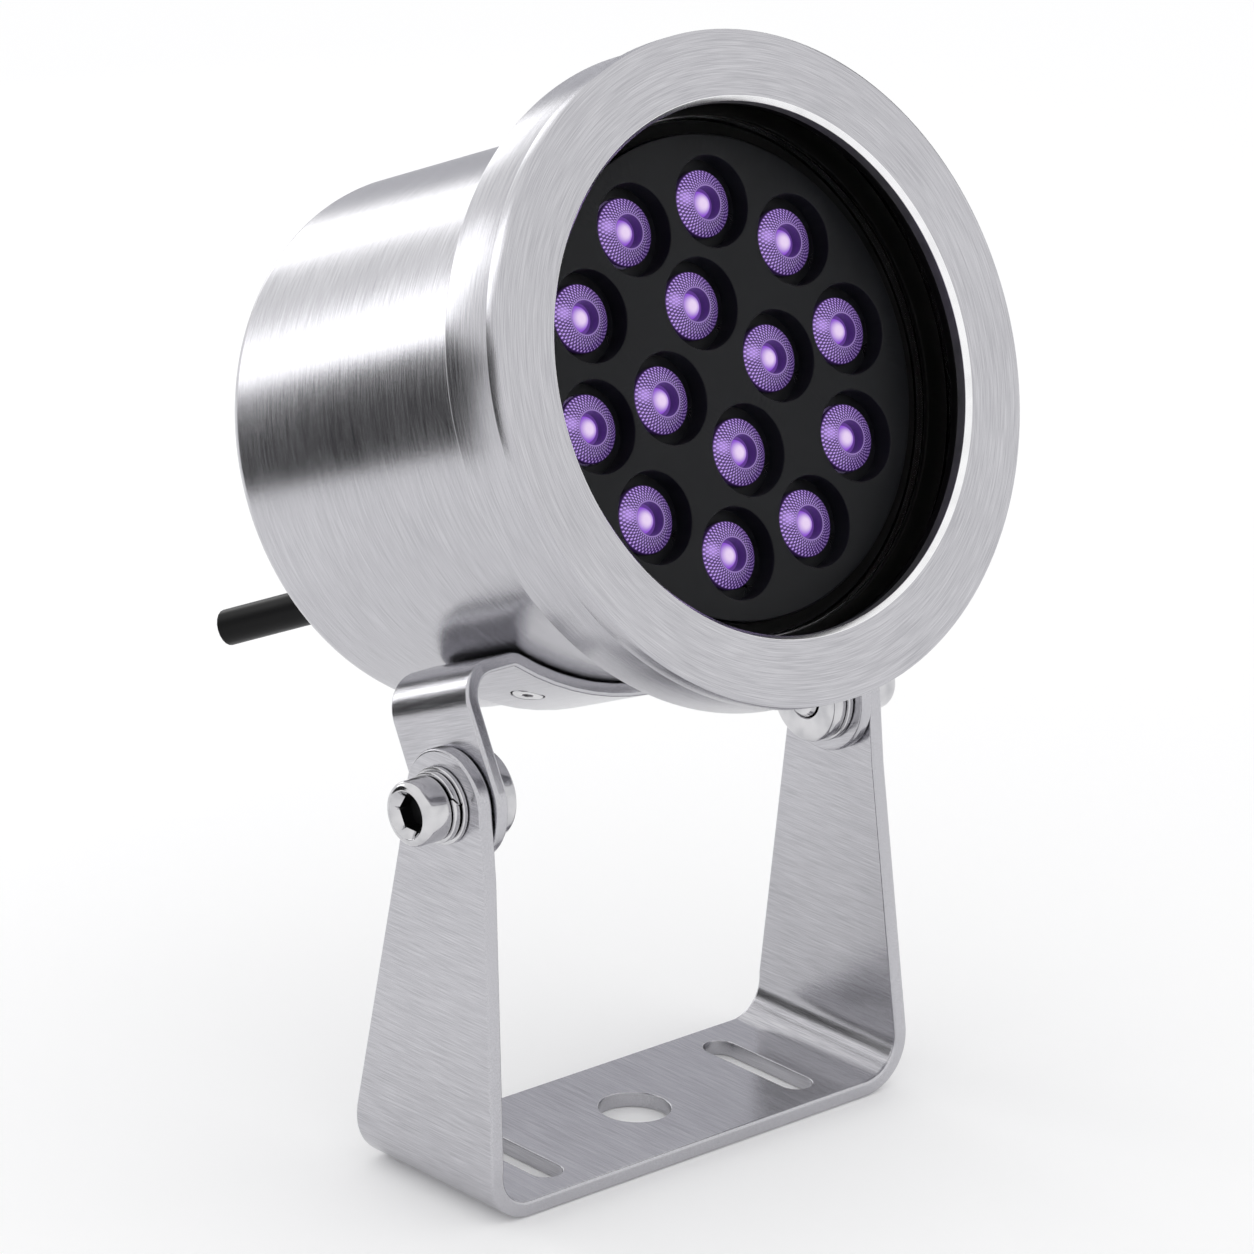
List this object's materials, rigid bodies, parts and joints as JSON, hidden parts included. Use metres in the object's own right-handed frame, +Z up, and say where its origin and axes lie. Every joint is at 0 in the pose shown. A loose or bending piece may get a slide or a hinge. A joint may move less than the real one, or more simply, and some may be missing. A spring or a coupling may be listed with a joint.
{
  "type": "underwater pond light",
  "caption": "Round stainless steel underwater spotlight with a bolted front ring and a lens cluster, tilting in a U-shaped yoke, with a rear cable gland.",
  "frame": {"origin": "on the floor under the middle of the light without its free cable", "axes": "+Z up, -Y the way the lamp faces at rest, +X along the tilt axis, to the right as seen from the front"},
  "size_m": [0.16, 0.2148, 0.2785],
  "materials": {
    "brushed_steel": "brushed",
    "polished_steel": "polished",
    "aluminium": "satin",
    "brass": "plain",
    "rubber": "matte",
    "black_plastic": "satin",
    "white_board": "satin",
    "green_board": "satin",
    "window_glass": "clear",
    "lens_clear": "clear"
  },
  "bodies": {
    "yoke_frame": {"yoke": "brushed_steel", "pivot_bolt_left": "polished_steel", "pivot_bolt_right": "polished_steel", "spring_washer_left": "polished_steel", "spring_washer_right": "polished_steel", "outer_washer_left": "polished_steel", "outer_washer_right": "polished_steel", "inner_washer_left": "polished_steel", "inner_washer_right": "polished_steel", "pivot_nut_left": "polished_steel", "pivot_nut_right": "polished_steel"},
    "lamp_head": {"saddle_bracket": "brushed_steel", "front_ring": "brushed_steel", "housing_shell": "brushed_steel", "back_plate": "brushed_steel", "bezel_screw_01": "polished_steel", "bezel_screw_02": "polished_steel", "bezel_screw_03": "polished_steel", "bezel_screw_04": "polished_steel", "bezel_screw_05": "polished_steel", "bezel_screw_06": "polished_steel", "saddle_screw_left": "polished_steel", "saddle_screw_right": "polished_steel", "carrier_screw_1": "polished_steel", "carrier_screw_2": "polished_steel", "carrier_screw_3": "polished_steel", "gland_body": "polished_steel", "gland_lock_nut": "polished_steel", "gland_cap": "polished_steel", "heat_spreader": "aluminium", "standoff_1": "brass", "standoff_2": "brass", "standoff_3": "brass", "driver_inductor": "brass", "flange_seal": "rubber", "front_gasket": "rubber", "seat_gasket": "rubber", "gland_seal": "rubber", "cable_inner": "rubber", "cable": "rubber", "lens_panel": "black_plastic", "driver_capacitor": "black_plastic", "led_board": "white_board", "driver_board": "green_board", "front_glass": "window_glass", "lens_01": "lens_clear", "lens_02": "lens_clear", "lens_03": "lens_clear", "lens_04": "lens_clear", "lens_05": "lens_clear", "lens_06": "lens_clear", "lens_07": "lens_clear", "lens_08": "lens_clear", "lens_09": "lens_clear", "lens_10": "lens_clear", "lens_11": "lens_clear", "lens_12": "lens_clear", "lens_13": "lens_clear", "lens_14": "lens_clear"}
  },
  "joints": [
    {"name": "head_tilt", "type": "hinge", "parent": "yoke_frame", "child": "lamp_head", "pos_m": [0, -0.01709, 0.1003], "axis": [1, 0, 0], "range_deg": [-36, 113]}
  ]
}
